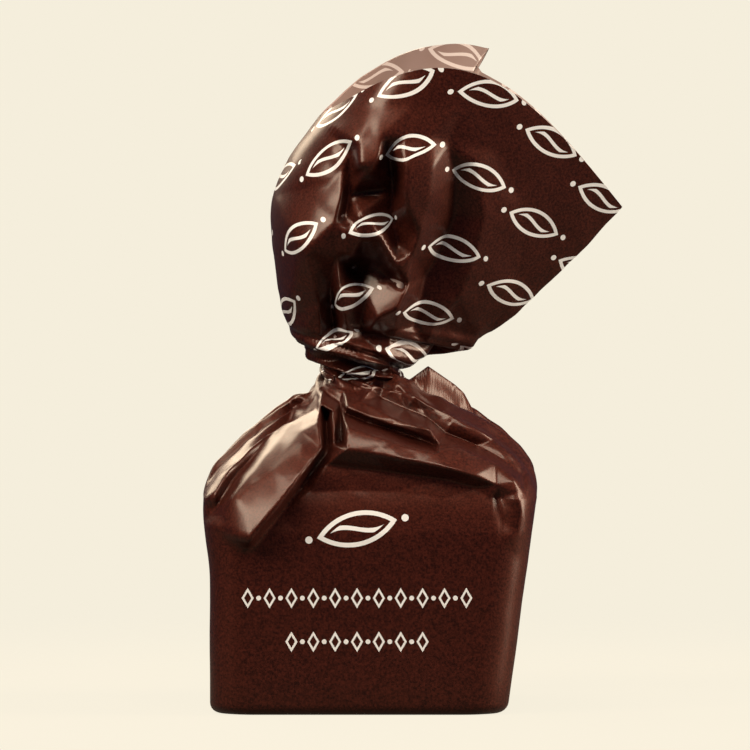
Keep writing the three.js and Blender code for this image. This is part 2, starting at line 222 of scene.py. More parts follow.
def skin(u, s):
    u, s = np.broadcast_arrays(np.asarray(u, float), np.asarray(s, float))
    walls = wall(u, np.clip(s, 0, 1) * SHOULDER)
    points = np.where((s <= 1)[..., None], walls, dome(u, np.clip(s - 1, 0, 1)))
    return np.where((s <= 2)[..., None], points, cornet(u, np.clip(s - 2, 0, 1)))


def unit(vectors):
    return vectors / np.maximum(np.linalg.norm(vectors, axis=-1, keepdims=True), 1e-12)


def skin_normal(u, s):
    """Differences stay inside one of the three stretches, because the skin has a crease between them."""
    part = np.minimum(2, np.floor(s))
    low = np.maximum(part + 1e-4, s - 0.01)
    high = np.minimum(part + 1 - 1e-4, s + 0.01)
    return unit(np.cross(skin(u + 0.004, s) - skin(u - 0.004, s), skin(u, high) - skin(u, low)))


print("shoulder corner, mm:", skin(0.875, 1.0).round(2), "rim top, mm:", skin(0.75, 3.0).round(2))

# %% [markdown]
# ## Folds
#
# Film doesn't stretch, so where it is drawn together the spare width stands up in folds. It is also stiff, so
# between two creases it stays flat. On the front, where every fold is seen, the creases are therefore laid
# as lines of points, each with the height at which the film stands off the smooth skin there, and the
# film between the lines is a net of flat triangles. Two lines close together, one high and one low, are an
# overlap. A simulation would find folds too, but not these ones.
#
# The sides and the back are pleated more evenly, so there a fold is a band along a line on one view: a
# ridge if its height is positive and a hollow if negative.

# %% Views that the folds are drawn on
PICTURE_MIDDLE = 28.2  # height of the picture's middle on the front drawing


def front_drawing(p):
    """The front as the camera draws it, in millimetres on the plane through the truffle's middle."""
    aim_x, aim_z = AIM[0] / MM, AIM[2] / MM
    rise, run = math.sin(EYE_ELEVATION), math.cos(EYE_ELEVATION)
    up = (p[..., 2] - aim_z) * run + p[..., 1] * rise
    depth = p[..., 1] * run - (p[..., 2] - aim_z) * rise
    scale = EYE_DISTANCE / (EYE_DISTANCE + depth * MM)
    return np.stack([aim_x + (p[..., 0] - aim_x) * scale, PICTURE_MIDDLE + up * scale], -1)


VIEWS = {  # the way that each side faces, and its drawing: right and up
    "back": ((0, 1, 0), lambda p: np.stack([-p[..., 0], p[..., 2]], -1)),
    "left": ((-1, 0, 0), lambda p: np.stack([-p[..., 1], p[..., 2]], -1)),
    "right": ((1, 0, 0), lambda p: np.stack([p[..., 1], p[..., 2]], -1)),
}


# %% Creases of the dome's front: right, up and out, in millimetres
dome_creases = [
    # the fold over the left shoulder
    [
        (-4.0, 27.0, 0.0), (-6.9, 25.5, 0.5), (-9.4, 24.0, 0.4), (-11.5, 22.2, 0.6),
        (-13.2, 20.1, 0.5), (-13.9, 17.8, 0.3), (-14.2, 15.7, 0.0),
    ],
    # the bulge beside it, which catches the light
    [(-6.9, 25.1, 0.2), (-9.2, 23.3, 1.0), (-11.3, 21.0, 1.3), (-12.6, 18.6, 0.7)],
    # the crevice along the flap's outer side
    [(-6.1, 25.4, -0.8), (-8.5, 22.6, -1.1), (-10.8, 20.0, -1.1), (-12.8, 17.0, -0.7)],
    # the flap: its outer edge, its middle and its inner edge, which stands proud
    [(-4.9, 26.2, 0.2), (-6.6, 24.0, 0.6), (-9.0, 21.0, 0.6), (-11.2, 18.1, 0.5), (-12.0, 15.6, 0.3)],
    [(-4.4, 26.4, 0.8), (-5.6, 23.6, 1.6), (-7.8, 20.5, 1.5), (-10.3, 16.9, 1.2)],
    [
        (-4.0, 26.0, 3.0), (-4.1, 24.5, 3.1), (-3.8, 22.2, 2.1),
        (-5.5, 20.1, 2.3), (-7.5, 17.3, 2.3), (-9.8, 14.5, 1.9),
    ],
    # the foot of the inner edge
    [(-3.5, 21.7, -0.6), (-5.1, 19.6, -0.4), (-7.2, 16.9, -0.3), (-9.4, 14.1, 0.0)],
    [(-12.1, 14.7, 0.0), (-10.2, 13.6, 0.0)],
    # two deep tucks and the ridge between them
    [(-3.5, 24.9, -1.5), (-3.4, 22.5, -2.3)],
    [(-2.9, 25.4, 2.5), (-2.8, 22.4, 1.4)],
    [(-2.3, 25.8, -0.7), (-2.2, 22.5, -2.3)],
    # the roll of slack film over the front panel: its top edge and the slot above
    [(-1.8, 24.1, 3.9), (-0.0, 23.5, 3.5), (2.2, 22.8, 3.0), (4.3, 22.2, 2.6), (5.7, 21.8, 2.2)],
    [(-1.9, 25.0, -0.7), (-0.0, 24.1, -1.4), (2.2, 23.5, -1.6), (4.3, 22.8, -1.6), (5.5, 22.4, -0.6)],
    # the roll's lower edge, and the crease far below it where its underside meets the front panel
    [
        (-1.9, 22.2, 3.0), (-0.0, 21.9, 2.8), (2.2, 21.5, 2.7), (4.3, 21.1, 2.5),
        (6.4, 20.6, 2.2), (8.9, 19.9, 1.6), (10.8, 19.1, 0.5),
    ],
    [
        (-3.5, 20.8, 0.8), (-1.5, 20.5, 0.6), (2.2, 20.1, 0.4),
        (6.4, 19.5, 0.2), (8.9, 18.8, 0.0), (10.2, 18.0, 0.0),
    ],
    [
        (-4.8, 18.5, 0.0), (-1.9, 18.6, 0.0), (2.2, 18.5, 0.0),
        (6.4, 17.9, 0.0), (9.2, 17.1, 0.0), (10.4, 16.1, 0.0),
    ],
    # the facet over the slot: its lower and its upper edge
    [(-1.8, 25.6, 1.6), (0.2, 24.7, 1.1), (2.2, 24.0, 0.9), (4.3, 23.3, 1.0), (5.2, 23.0, 1.4)],
    [
        (-1.9, 26.7, 0.6), (-0.7, 26.2, 1.6), (0.8, 25.4, 1.6),
        (2.2, 24.6, 1.5), (3.9, 24.0, 1.9), (5.1, 23.8, 2.7),
    ],
    # the sharp ridge from its end to the right corner, and the valley behind it
    [
        (5.1, 23.8, 2.7), (5.9, 22.5, 1.7), (8.1, 22.0, 1.2),
        (10.6, 20.8, 0.6), (12.2, 19.5, 1.3), (13.2, 18.2, 0.7),
    ],
    [(6.4, 23.4, -0.7), (8.9, 22.3, -1.4), (11.3, 21.0, -0.4), (12.8, 19.8, -0.2)],
    # the valley above the facet, the upper ridge and the film behind it
    [(1.0, 26.3, -0.8), (3.1, 25.3, -0.6), (5.0, 24.5, -0.4)],
    [
        (2.5, 27.3, 1.7), (3.9, 26.5, 2.5), (5.6, 25.6, 3.1), (7.2, 24.8, 3.2),
        (8.9, 23.9, 2.4), (10.6, 22.8, 1.0), (12.6, 21.0, 0.5),
    ],
    [(3.3, 27.5, -0.3), (5.6, 26.6, -0.7), (8.3, 25.2, -0.8), (10.6, 23.5, -0.4), (12.2, 21.9, -0.2)],
    # the corner pleat and the dimple beside it
    [(12.3, 18.5, 0.9), (12.8, 16.9, 0.7), (12.5, 15.0, 0.3), (12.2, 13.2, 0.0)],
    [(10.9, 18.0, -0.5), (11.3, 16.1, -0.4), (11.1, 14.4, 0.0)],
    # where the folds end
    [
        (-14.3, 27.8, 0), (-14.3, 12.8, 0), (-10.7, 12.3, 0), (-5.7, 14.9, 0), (1.0, 16.1, 0),
        (6.8, 15.8, 0), (11.0, 12.5, 0), (14.8, 12.0, 0), (14.8, 26.1, 0),
    ],
]
print("lines of creases on the dome:", len(dome_creases))

# %% Creases of the cornet's front
cornet_creases = [
    # the long left-hand facet, which catches the light
    [(-2.1, 45.3, -0.1), (-2.2, 43.1, 0.7), (-2.8, 40.8, 1.5), (-5.1, 38.7, 2.4)],
    [(-2.1, 45.3, -0.1), (-3.3, 44.0, 0.1), (-4.2, 42.4, 0.7), (-5.8, 39.1, 2.3)],
    # the fold beside it, and the second facet below
    [(-1.4, 46.7, -0.5), (-1.5, 45.0, -0.9), (-1.6, 43.1, -0.9), (-1.9, 41.6, -0.3)],
    [(-0.7, 41.6, 1.0), (-0.6, 39.7, 1.1), (-1.6, 38.1, 0.9)],
    # the small facet at the head of the folds
    [
        (-0.7, 45.6, 1.3), (-0.8, 47.5, 0.8), (0.3, 48.3, 0.5),
        (1.1, 48.0, 0.7), (0.9, 46.4, 1.2), (0.2, 45.5, 1.3),
    ],
    # the deep valley, the full ridge beside it and the wide valley
    [(1.6, 47.2, -0.6), (1.9, 45.6, -2.0), (2.1, 43.6, -2.2), (1.9, 41.4, -1.8), (2.5, 39.0, -1.0)],
    [(3.0, 47.8, 0.4), (3.1, 45.6, 1.3), (3.1, 43.6, 1.6), (3.2, 42.3, 1.5)],
    [(5.1, 48.1, 0.4), (5.4, 45.6, 1.0), (5.2, 43.1, 1.1), (4.3, 40.0, 1.0), (3.6, 38.1, 0.8)],
    [(6.7, 47.5, -0.2), (7.4, 44.7, -0.9), (7.2, 41.4, -1.3), (6.2, 38.6, -1.4), (4.8, 36.5, -1.2)],
    [(8.8, 45.8, 0.3), (9.6, 41.4, 0.6), (8.9, 38.1, 0.6), (7.6, 34.7, 0.6), (5.7, 32.8, 0.4)],
    # the edge that hangs over the triangular facet, and the hollow under it
    [(0.3, 40.8, 1.0), (1.0, 39.7, 1.2), (2.3, 37.5, 1.1), (3.3, 35.8, 0.9)],
    [(-0.4, 38.5, -0.4), (0.8, 37.3, -1.2), (2.1, 36.0, -1.1), (2.7, 35.6, -0.4)],
    # the triangular facet, which catches the light too
    [(-1.2, 37.2, -2.5), (0.8, 36.4, -1.1), (3.1, 35.2, 1.3), (2.5, 33.9, 1.9), (0.8, 33.1, 1.5)],
    [(-1.2, 37.2, -2.5), (-0.7, 36.1, -1.6), (0.0, 34.7, -0.3), (0.8, 33.1, 1.5)],
    # the slit above the neck, with a facet on either side
    [(-3.1, 35.8, -0.2), (-3.1, 34.2, -1.5), (-2.9, 32.5, -1.7), (-2.6, 31.5, -0.9)],
    [(-2.7, 38.1, 0.9), (-2.4, 35.3, 1.0), (-1.9, 32.8, 1.0), (-1.6, 31.3, 0.6)],
    [(-4.1, 34.2, 0.6), (-3.9, 31.5, 0.4)],
    [(-0.9, 35.0, 0.1), (-0.6, 32.8, -0.3), (-0.4, 31.3, -0.2)],
    [(3.7, 35.1, 0.5), (3.0, 33.6, 0.9), (2.4, 32.1, 0.6)],
    [(4.2, 33.9, -0.3), (3.8, 32.3, -0.2)],
    # the under side on the right
    [(9.2, 32.0, 0.3), (6.7, 32.6, 0.0), (4.8, 30.7, 0.2)],
    # where the folds end
    [
        (-8.3, 39.5, 0), (-7.9, 43.2, 0), (-6.5, 47.0, 0), (-3.6, 49.0, 0), (0.2, 50.5, 0), (3.9, 50.8, 0),
        (7.7, 50.3, 0), (10.3, 47.0, 0), (12.7, 42.8, 0), (12.8, 38.2, 0), (11.5, 33.6, 0), (8.5, 30.5, 0),
    ],
]
print("lines of creases on the cornet:", len(cornet_creases))

# %% Creases round the neck
neck_creases = [
    # the band where the cornet turns under: its middle, its lower edge and the undercut
    [
        (-6.8, 33.0, 0.0), (-5.5, 31.5, 0.5), (-3.2, 30.8, 1.0),
        (-0.7, 30.1, 1.2), (1.2, 29.6, 0.9), (5.2, 30.1, 0.2),
    ],
    [(-4.7, 30.5, 0.6), (-2.8, 30.0, 1.1), (-0.2, 29.4, 1.2), (1.5, 29.0, 0.6)],
    [(-4.5, 30.0, -0.6), (-2.8, 29.5, -0.9), (-0.2, 28.9, -0.9), (1.7, 28.4, -0.3)],
    # slanting creases round the twist
    [(-3.8, 29.3, -0.3), (-2.7, 28.0, 0.3), (-2.0, 26.9, 0.3)],
    [(-2.5, 29.0, -0.3), (-1.5, 28.0, -0.6), (-1.0, 26.8, -0.3)],
    [(-1.5, 28.5, 0.3), (-0.3, 27.6, 0.5), (0.3, 27.0, 0.4)],
    [(0.3, 28.2, 0.5), (2.0, 27.7, 0.7)],
    [(-0.2, 28.5, -0.4), (1.3, 27.3, -0.3)],
]
print("lines of creases round the neck:", len(neck_creases))

# %% The film is flat between the creases
SAME_PLACE = 1e-5  # points closer than this are one point
CREASE_ROUNDING = 0.09  # the film bends round each crease with about this radius


def flat_pieces(lines):
    """Triangles between lines of creases, as an array of corners: right, up and out."""
    points = [point for line in lines for point in line]
    firsts = np.cumsum([0] + [len(line) for line in lines])
    edges = [
        (first + i, first + i + 1)
        for first, line in zip(firsts, lines)
        for i in range(len(line) - 1)
    ]
    flat = [Vector(point[:2]) for point in points]
    places, _, triangles, sources, *_ = delaunay_2d_cdt(flat, edges, [], 0, SAME_PLACE)
    crossings = [tuple(round(c, 1) for c in place) for place, source in zip(places, sources) if not source]
    print("triangles:", len(triangles), "lines that cross:", crossings)
    whole = [triangle for triangle in triangles if all(sources[corner] for corner in triangle)]
    return np.array([[points[sources[corner][0]] for corner in triangle] for triangle in whole])


def out_of_skin(pieces, place):
    """The height of the flat pieces over each place on the front drawing, and 0 outside them."""
    height = np.zeros(place.shape[:-1])
    for a, b, c in pieces:
        low, high = np.minimum.reduce([a, b, c])[:2], np.maximum.reduce([a, b, c])[:2]
        near = np.flatnonzero(((place >= low) & (place <= high)).all(-1))
        if not len(near):
            continue
        spread = np.array([b[:2] - a[:2], c[:2] - a[:2]])
        shares = (place[near] - a[:2]) @ np.linalg.inv(spread)
        within = (shares >= 0).all(-1) & (shares.sum(-1) <= 1)
        height[near[within]] = a[2] + shares[within] @ np.array([b[2] - a[2], c[2] - a[2]])
    return height


front_pieces = flat_pieces(dome_creases + neck_creases + cornet_creases)


def creased(points, normals):
    """How far the creases of the front push each point out."""
    shown = smooth(-0.02, 0.2, normals @ np.array([0.0, -1.0, 0.0]))
    place = front_drawing(points)
    steps = CREASE_ROUNDING * np.array([[1, 0], [0, 1], [-1, 0], [0, -1]])
    return shown * np.mean([out_of_skin(front_pieces, place + step) for step in steps], axis=0)


# %% The sides and the back gather in pleats of uneven size
def fold(view, height, half, line, soft, fade):
    """half is the half width at the line's two ends, soft the share of it that slopes on either side, and
    fade the share of the line over which each end dies out."""
    return dict(view=view, height=height, half=half, line=line, soft=soft, fade=fade)


dome_folds, cornet_folds = [], []
PLEATS = {"back": (8, 1.1), "left": (6, 0.6), "right": (4, 0.6)}  # how many, and how high the highest
for view, (count, highest) in PLEATS.items():
    for i in range(count):
        seed = count * 10 + i
        foot = mix(-10.5, 10.5, (i + 0.5) / count) + 1.4 * (scatter(seed) - 0.5)
        low = SHOULDER - 1.5 + 3 * scatter(seed + 0.3)
        height = (-0.8 if i % 2 else 1.0) * highest * mix(0.55, 1, scatter(seed + 0.6))
        line = [[0.24 * foot, 26.3], [0.58 * foot, 23.6], [foot, low]]
        dome_folds.append(fold(view, height, [0.4, 1.05], line, [1, 0.6], [0.12, 0.3]))
BACK_FLUTES = 7
for i in range(BACK_FLUTES):
    spread = (i + 0.5) / BACK_FLUTES
    lean = mix(-11, 5, spread) + 1.5 * (scatter(i + 31) - 0.5)
    tall = mix(38, 45, scatter(i + 57))
    line = [[mix(-1.6, 2.2, spread), 30.0], [0.7 * lean, mix(30.0, tall, 0.55)], [lean, tall]]
    cornet_folds.append(fold("back", -0.7 if i % 2 else 0.8, [0.5, 1.1], line, [1, 0.8], [0.1, 0.4]))
print("folds in all:", len(dome_folds) + len(cornet_folds))

# %% The height of a fold at each point of the skin
TWIST_RIDGES = ((5, 1.0, 0.0), (3, 0.5, 0.8), (13, 0.35, 0.4))  # ridges in a turn, share of the height, phase
TWIST_HEIGHT = 0.85
TWIST_LEVEL = 0.95  # sum of the ridges at which the film lies on the smooth skin


def band(f, points, normals):
    facing, flat = VIEWS[f["view"]]
    shown = smooth(-0.05, 0.22, normals @ np.array(facing, float))
    place = flat(points)
    line = np.array(f["line"], float)
    steps = np.diff(line, axis=0)
    lengths = np.linalg.norm(steps, axis=1)
    nearest = np.full(place.shape[:-1], np.inf)
    side = np.ones_like(nearest)
    share = np.zeros_like(nearest)
    walked = 0.0
    for start, step, length in zip(line, steps, lengths):
        direction = step / length
        off = place - start
        run = np.clip(off @ direction, 0, length)
        off = off - run[..., None] * direction
        distance = np.linalg.norm(off, axis=-1)
        closer = distance < nearest
        nearest = np.where(closer, distance, nearest)
        turn = direction[0] * off[..., 1] - direction[1] * off[..., 0]
        side = np.where(closer, np.where(turn < 0, -1, 1), side)
        share = np.where(closer, (walked + run) / lengths.sum(), share)
        walked += length
    across = side * nearest / mix(*f["half"], share)
    slope = np.clip(np.minimum((1 + across) / f["soft"][0], (1 - across) / f["soft"][1]), 0, 1)
    crest = mix(slope, smooth(0, 1, slope), 0.2)
    ends = smooth(0, f["fade"][0], share) * (1 - smooth(1 - f["fade"][1], 1, share))
    return f["height"] * crest * ends * shown


def twist(u, z):
    """Rope-like ridges that wind round the neck and die out above and below it."""
    near = smooth(25.8, 27.2, z) * (1 - smooth(29.4, 32.4, z))
    turned = u + TWIST_TURNS * smooth(24.2, 33.0, z)
    ridges = sum(
        share * np.abs(np.sin(math.pi * count * turned + phase)) for count, share, phase in TWIST_RIDGES
    )
    return near * TWIST_HEIGHT * (ridges - TWIST_LEVEL)


# %% [markdown]
# ## Crinkles
#
# Between its folds the film is never quite flat: it is stiff and springy, so it breaks into small flat
# facets. Triangle waves in a few random directions make such facets, where noise would make soft lumps.

# %% Facets
def facet_waves(wavelength, seed, waves=6):
    """Directions, lengths and phases of triangle waves about wavelength millimetres long."""
    draw = np.random.default_rng(seed)
    return [
        (unit(draw.normal(size=3)), wavelength * draw.uniform(0.7, 1.5), draw.uniform())
        for _ in range(waves)
    ]


def facets(points, waves):
    cycles = [points @ direction / length + phase for direction, length, phase in waves]
    return sum(np.abs(cycle % 1 - 0.5) * 4 - 1 for cycle in cycles) / math.sqrt(len(waves))


BROAD_FACETS = facet_waves(5.5, seed=7)
SMALL_FACETS = facet_waves(1.9, seed=8)


def crinkle(points):
    z = points[..., 2]
    gathered = np.exp(-(((z - 28) / 4.5) ** 2))  # most of all round the neck
    dome_part = smooth(16.5, 20, z) * (1 - smooth(28, 31, z))
    cornet_part = smooth(29, 33, z) * (1 - 0.6 * smooth(34, 50, z))
    broad = facets(points, BROAD_FACETS) * (0.02 + 0.045 * dome_part + 0.04 * cornet_part)
    fineness = 0.004 + 0.05 * gathered + 0.02 * dome_part + 0.015 * cornet_part
    return broad + facets(points, SMALL_FACETS) * fineness


print("facet waves:", len(BROAD_FACETS) + len(SMALL_FACETS))

# %% [markdown]
# ## The mesh
#
# Rows of points run from the middle of the base, up the outside, over the cut rim and down the inside of
# the cornet, so the film has a real edge and an inner face. Columns stand closer on the front.

# %% Lay out rows and columns
COLUMNS = 372
FRONT_SHARE = 0.64
EDGE_ROWS = 6
WALL_ROWS = 35
DOME_ROWS = 100
CORNET_ROWS = 96
INNER_ROWS = 26
back_columns = round(COLUMNS * (1 - FRONT_SHARE))
column_u = np.concatenate([
    0.5 * np.arange(back_columns) / back_columns,
    0.5 + 0.5 * np.arange(COLUMNS - back_columns) / (COLUMNS - back_columns),
])
edge_rows = (1 - np.cos(np.linspace(0, math.pi / 2, EDGE_ROWS + 1)[1:])) * EDGE_RADIUS / SHOULDER
wall_rows = mix(EDGE_RADIUS / SHOULDER, 1, np.linspace(0, 1, WALL_ROWS + 1)[1:] ** 0.6)
dome_rows = 1 + np.linspace(0, 0.999, DOME_ROWS + 1)[1:]
cornet_rows = 2 + np.linspace(0, 1, CORNET_ROWS + 1)[1:] ** 1.15
inner_rows = 2 + np.linspace(1, 0.2, INNER_ROWS)
outer_s = np.concatenate([[0.0], edge_rows, wall_rows, dome_rows, cornet_rows])
print("rows outside:", len(outer_s), "inside:", len(inner_rows), "columns:", COLUMNS)

# %% Fold the skin
# The back of the rim is a lapped panel that stands above the front and ends in a pointed corner, with a notch
# beside it. Shifts to the right and up, at shares of the way from the rim's left end to its right tip.
LAP_PLACES = [0, 0.13, 0.265, 0.40, 0.545, 0.56, 0.572, 0.61, 1]
LAP_RIGHT = [0, 0, 0, 0, 0, 0.1, -1.5, 0, 0]
LAP_UP = [0, 0.9, 1.3, 1.6, 2.2, 2.3, 0.8, 0, 0]


def lap(u, s):
    across = 0.5 + 0.5 * np.cos(TAU * u)
    near = smooth(0.65, 1, s - 2) * (np.sin(TAU * u) > 0)
    right, up = np.interp(across, LAP_PLACES, LAP_RIGHT), np.interp(across, LAP_PLACES, LAP_UP)
    return np.stack([right * near**2, 0 * near, up * near], -1)


# A fin of film stands up behind the neck on the right: a tent over a line on the plan.
FIN_X = [2.4, 3.3, 5.0, 7.25, 8.0, 8.9, 9.6]
FIN_TOP = [25.0, 27.1, 28.3, 26.7, 26.0, 24.3, 22.0]
FIN_LINE = ((2.4, -2.4), (9.6, 1.0))  # x and y of the line's ends
FIN_SLOPES = (7.0, 1.3)  # fall per millimetre, in front of the line and behind it
FIN_TURN = 0.2  # half the width over which the film turns over the fin's top


def with_fin(points):
    (x0, y0), (x1, y1) = FIN_LINE
    beyond = points[..., 1] - mix(y0, y1, (points[..., 0] - x0) / (x1 - x0))
    fall = np.where(beyond < 0, *FIN_SLOPES) * np.maximum(0, np.abs(beyond) - FIN_TURN)
    tent = np.interp(points[..., 0], FIN_X, FIN_TOP, left=0, right=0) - fall
    raised = points.copy()
    on_dome = (points[..., 2] > SHOULDER) & (points[..., 2] < NECK_HEIGHT + 0.2)
    raised[..., 2] = np.where(on_dome, np.maximum(points[..., 2], tent), points[..., 2])
    return raised


def folded(s_rows, thickness, clearance=0.0):
    """The skin with its folds. Below the rim the inside stands back by a clearance, to stay within them."""
    u, s = np.meshgrid(column_u, s_rows)
    inset = thickness + clearance * (1 - smooth(2.8, 2.97, s))
    points, normals = skin(u, s), skin_normal(u, s)
    height = twist(u, points[..., 2])
    creases = creased(points.reshape(-1, 3), normals.reshape(-1, 3)).reshape(u.shape)
    creases = creases * smooth(0, 0.12, s)
    for folds, here in ((dome_folds, s < 2), (cornet_folds, s >= 2)):
        for f in folds:
            height[here] += band(f, points[here], normals[here])
    height *= smooth(0, 0.12, s)
    height += crinkle(points) * smooth(0.05, 0.25, s)
    moved = points + normals * (height - inset)[..., None]
    moved[..., 1] -= creases  # straight out of the drawing, so that each crease stays where it is drawn
    return with_fin(moved) + lap(u, s)


INNER_CLEARANCE = 0.5
BASE_SHARES = (0.3, 0.6, 0.85)  # rings of the flat base, as shares of its outline
outer = folded(outer_s, 0.0)
inner = folded(inner_rows, FILM, INNER_CLEARANCE)
base = [outer[0] * [share, share, 0] for share in BASE_SHARES]
rows = np.concatenate([np.array(base), outer, inner])
floor_point = inner[-1].mean(0) - [0, 0, 0.4]
print("size, mm:", np.ptp(rows.reshape(-1, 3), axis=0).round(2))

# %% Join the rows into faces
first_inner = len(base) + len(outer_s)
row_count = len(rows)
index = 1 + np.arange(row_count * COLUMNS).reshape(row_count, COLUMNS)
nxt = np.roll(index, -1, axis=1)
quads = np.stack([index[:-1], nxt[:-1], nxt[1:], index[1:]], -1)
last = row_count * COLUMNS + 1
low_fan = [[0, int(b), int(a)] for a, b in zip(index[0], nxt[0])]
high_fan = [[last, int(a), int(b)] for a, b in zip(index[-1], nxt[-1])]
vertices = np.concatenate([[[0, 0, 0]], rows.reshape(-1, 3), [floor_point]])
faces = quads.reshape(-1, 4).tolist() + low_fan + high_fan

mesh = bpy.data.meshes.new("film_wrapper")
mesh.from_pydata((vertices * MM).tolist(), [], faces)
mesh.update()
wrapper = bpy.data.objects.new("film_wrapper", mesh)
bpy.context.collection.objects.link(wrapper)
print("faces:", len(mesh.polygons))

# %% Smooth shading, with a crisp cut edge at the rim
mesh.shade_smooth()
rim_rows = (first_inner - 1, first_inner)
rim_points = np.concatenate([index[r] for r in rim_rows])
on_rim = np.zeros(len(mesh.vertices), bool)
on_rim[rim_points] = True
edges = np.empty(2 * len(mesh.edges), int)
mesh.edges.foreach_get("vertices", edges)
edges = edges.reshape(-1, 2)
row_of = np.full(len(mesh.vertices), -1)
row_of[1:-1] = np.repeat(np.arange(row_count), COLUMNS)
along_rim = on_rim[edges].all(1) & (row_of[edges[:, 0]] == row_of[edges[:, 1]])
sharp = mesh.attributes.new("sharp_edge", "BOOLEAN", "EDGE")
sharp.data.foreach_set("value", along_rim)
inside_face = np.zeros(len(mesh.polygons), int)
quad_rows = np.repeat(np.arange(row_count - 1), COLUMNS)
inside_face[: len(quad_rows)] = quad_rows >= first_inner - 1
inside_face[-COLUMNS:] = 1
mesh.polygons.foreach_set("material_index", inside_face)
print("rim edges marked sharp:", int(along_rim.sum()))

# %% [markdown]
# ## Where the print falls
#
# The cornet is printed all over with one small motif, in rows that fan out from the neck. Each face near a
# motif's centre gets that motif's own flat coordinates, in millimetres, as a UV map. They are measured along
# the folded film, so a motif that runs into a fold goes down its side and looks cut there.

# %% Motif centres on the cornet
MOTIF_PITCH = 7.2
MOTIF_REACH = 4.2
MOTIF_TILT = math.radians(16)
MOTIF_ROWS = (0.06, 0.24, 0.43, 0.62, 0.80, 0.965)


def motif_places():
    """u, s and tilt of each motif."""
    places = []
    for row, share in enumerate(MOTIF_ROWS):
        u = np.linspace(0, 1, 721)
        steps = np.linalg.norm(np.diff(skin(u, 2 + share), axis=0), axis=1)
        walked = np.concatenate([[0], np.cumsum(steps)])
        count = max(3, round(walked[-1] / MOTIF_PITCH))
        for k in range(count):
            at = np.interp((k + 0.5 * (row % 2) + 0.2) / count % 1 * walked[-1], walked, u)
            places.append((at, 2 + share, MOTIF_TILT + 0.12 * (scatter(row * 20 + k) - 0.5)))
    return places


motifs = motif_places()
print("motifs on the cornet:", len(motifs))

# %% Measure along the folded film
# The print was flat when the film was flat, so its coordinates are lengths walked along the folds.
FAR_AWAY = 90.0  # past every motif, for the faces that carry no print
ROWS_ABOUT = 45  # rows above and below a motif's middle that it may reach


def print_coordinates(points, s_rows):
    """For each face between two rows, its four corners' places from the middle of the nearest motif."""
    closed = np.concatenate([points, points[:, :1]], axis=1)
    steps = np.linalg.norm(np.diff(closed, axis=1), axis=2)
    reach = 6  # rows on either side that the steps are averaged over, because film can't shear
    padded = np.pad(steps, ((reach, reach), (0, 0)), mode="edge")
    steps = np.mean([padded[k : k + len(steps)] for k in range(2 * reach + 1)], axis=0)
    round_walk = np.cumsum(steps, axis=1)
    girth = round_walk[:, -1:]
    round_walk = np.concatenate([0 * girth, round_walk[:, :-1]], axis=1)
    up_steps = np.linalg.norm(np.diff(points, axis=0), axis=2)
    up_walk = np.concatenate([np.zeros((1, COLUMNS)), np.cumsum(up_steps, axis=0)])
    faces = np.full((len(points) - 1, COLUMNS, 4, 2), FAR_AWAY)
    best = np.full(faces.shape[:2], MOTIF_REACH)
    for at, level, tilt in motifs:
        column = int(np.argmin(np.abs(column_u - at)))
        row = int(np.argmin(np.abs(s_rows - level)))
        rows_here = slice(max(0, row - ROWS_ABOUT), row + ROWS_ABOUT + 1)
        along_ring = skin(at + 0.002, level - 0.001) - skin(at - 0.002, level - 0.001)
        up_film = skin(at, level - 0.001) - skin(at, level - 0.011)
        lean = math.acos(float(unit(along_ring) @ unit(up_film)))
        a = round_walk[rows_here] - round_walk[rows_here, column : column + 1]
        half = girth[rows_here] / 2
        a = (a + half) % (2 * half) - half
        b = up_walk[rows_here, column] - up_walk[row, column]
        b = np.broadcast_to(b[:, None] * np.sign(s_rows[-1] - s_rows[0]), a.shape)
        flat = np.stack([a + b * math.cos(lean), b * math.sin(lean)], -1)
        turn = np.array([[math.cos(tilt), -math.sin(tilt)], [math.sin(tilt), math.cos(tilt)]])
        flat = flat @ turn
        beside = np.roll(flat, -1, axis=1)
        corners = np.stack([flat[:-1], beside[:-1], beside[1:], flat[1:]], axis=2)
        distance = np.linalg.norm(corners, axis=-1).max(-1)
        window = slice(rows_here.start, rows_here.start + len(distance))
        near = distance < best[window]
        best[window][near] = distance[near]
        faces[window][near] = corners[near]
    return faces


# %% Give each face the coordinates of its motif
cornet_start = int(np.argmax(outer_s > 1.97))
corner_places = np.full((row_count - 1, COLUMNS, 4, 2), FAR_AWAY)
outer_print = print_coordinates(outer[cornet_start:], outer_s[cornet_start:])
corner_places[len(base) + cornet_start : first_inner - 1] = outer_print
corner_places[first_inner:] = print_coordinates(inner, inner_rows)
print_map = mesh.uv_layers.new(name="motif_mm", do_init=False)
flat_coordinates = np.full((len(mesh.loops), 2), FAR_AWAY)
flat_coordinates[: corner_places.size // 2] = corner_places.reshape(-1, 2)
print_map.uv.foreach_set("vector", flat_coordinates.astype(np.float32).ravel())
print("printed faces:", int((corner_places[..., 0, 0] < FAR_AWAY).sum()))

# %% [markdown]
# ## Materials
#
# The wrapper is polypropylene film, printed dark brown and left with a satin gloss. The ink lies on the
# outside, so the inside is paler: bare film with the brown showing through it as a dusty pink.

# %% Colour and node helpers


def srgb(code):
    """An sRGB hex code as linear red, green, blue and alpha."""
    channels = [int(code[i : i + 2], 16) / 255 for i in (1, 3, 5)]
    return [c / 12.92 if c <= 0.04045 else ((c + 0.055) / 1.055) ** 2.4 for c in channels] + [1.0]


